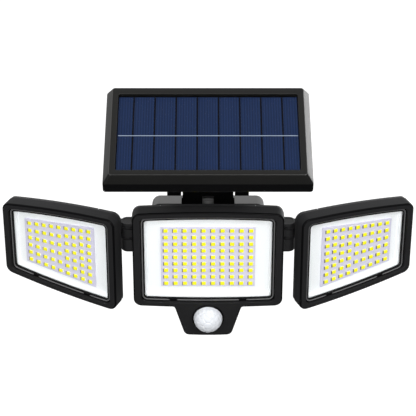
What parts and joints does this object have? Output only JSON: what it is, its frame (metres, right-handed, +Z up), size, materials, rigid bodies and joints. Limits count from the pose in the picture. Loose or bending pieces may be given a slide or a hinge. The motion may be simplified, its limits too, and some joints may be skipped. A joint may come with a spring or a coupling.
{
  "type": "motion sensor security light",
  "caption": "Wall light with a tilting solar panel on a hinged bracket, a pitching flood head with a motion sensor dome and hinged side heads.",
  "frame": {"origin": "centre of the wall base's flat back face", "axes": "+X to the right as seen from the front, +Y into the wall, +Z up"},
  "size_m": [0.2974, 0.1052, 0.182],
  "materials": {
    "base_plastic": "moulded ABS, fine spark texture",
    "black_plastic": "moulded ABS",
    "panel_plastic": "moulded ABS, satin",
    "bracket_plastic": "moulded ABS",
    "head_plastic": "moulded ABS, satin",
    "gloss_black": "moulded, smooth",
    "seal_rubber": "moulded silicone",
    "battery_sleeve": "shrink sleeve",
    "green_board": "solder resist",
    "steel": "zinc plated",
    "clear_film": "clear laminate",
    "silicon_cell": "blue polycrystalline silicon",
    "dark_sheet": "backing sheet",
    "sensor_lens": "milky polyethylene",
    "clear_lens": "clear polycarbonate",
    "white_reflector": "white moulding",
    "led_board": "white solder resist",
    "led_phosphor": "yellow phosphor"
  },
  "bodies": {
    "base": {"base_housing": "base_plastic", "base_back_cover": "black_plastic", "base_gasket": "seal_rubber", "battery": "battery_sleeve", "control_board": "green_board", "base_screws": "steel", "panel_pivot_bolt": "steel", "panel_pivot_nut": "steel", "head_pivot_bolt": "steel", "head_pivot_nut": "steel"},
    "panel": {"panel_frame": "panel_plastic", "panel_cover_sheet": "clear_film", "solar_cells": "silicon_cell", "panel_back_sheet": "dark_sheet", "panel_gasket": "seal_rubber", "panel_back_cover": "black_plastic", "panel_bracket": "bracket_plastic", "bracket_screws": "steel", "panel_screws": "steel"},
    "centre_head": {"centre_bezel": "head_plastic", "centre_housing": "head_plastic", "centre_lens": "clear_lens", "centre_lens_seal": "seal_rubber", "centre_reflector": "white_reflector", "centre_led_board": "led_board", "centre_leds": "led_phosphor", "centre_screws": "steel", "sensor_dome": "sensor_lens", "sensor_collar": "gloss_black", "sensor_element": "steel", "sensor_board": "green_board", "mode_switch": "black_plastic", "left_hinge_bolt": "steel", "left_hinge_nut": "steel", "right_hinge_bolt": "steel", "right_hinge_nut": "steel"},
    "left_head": {"left_bezel": "head_plastic", "left_housing": "head_plastic", "left_lens": "clear_lens", "left_lens_seal": "seal_rubber", "left_reflector": "white_reflector", "left_led_board": "led_board", "left_leds": "led_phosphor", "left_screws": "steel"},
    "right_head": {"right_bezel": "head_plastic", "right_housing": "head_plastic", "right_lens": "clear_lens", "right_lens_seal": "seal_rubber", "right_reflector": "white_reflector", "right_led_board": "led_board", "right_leds": "led_phosphor", "right_screws": "steel"},
    "mode_button": {"mode_button": "seal_rubber"}
  },
  "joints": [
    {"name": "panel_tilt", "type": "hinge", "parent": "base", "child": "panel", "pos_m": [0, -0.015, 0.027], "axis": [1, 0, 0], "range_deg": [-16, 16]},
    {"name": "head_tilt", "type": "hinge", "parent": "base", "child": "centre_head", "pos_m": [0, -0.0378, 0.006], "axis": [1, 0, 0], "range_deg": [-20, 10]},
    {"name": "left_yaw", "type": "hinge", "parent": "centre_head", "child": "left_head", "pos_m": [-0.0575, -0.04523, 0.00596], "axis": [0, 0.342, -0.9397], "range_deg": [-24, 20]},
    {"name": "right_yaw", "type": "hinge", "parent": "centre_head", "child": "right_head", "pos_m": [0.0575, -0.04523, 0.00596], "axis": [0, -0.342, 0.9397], "range_deg": [-24, 20]},
    {"name": "mode_button_press", "type": "slide", "parent": "centre_head", "child": "mode_button", "axis": [0, -0.342, 0.9397], "range_m": [0, 0.001], "stiffness_N_per_m": 300}
  ]
}
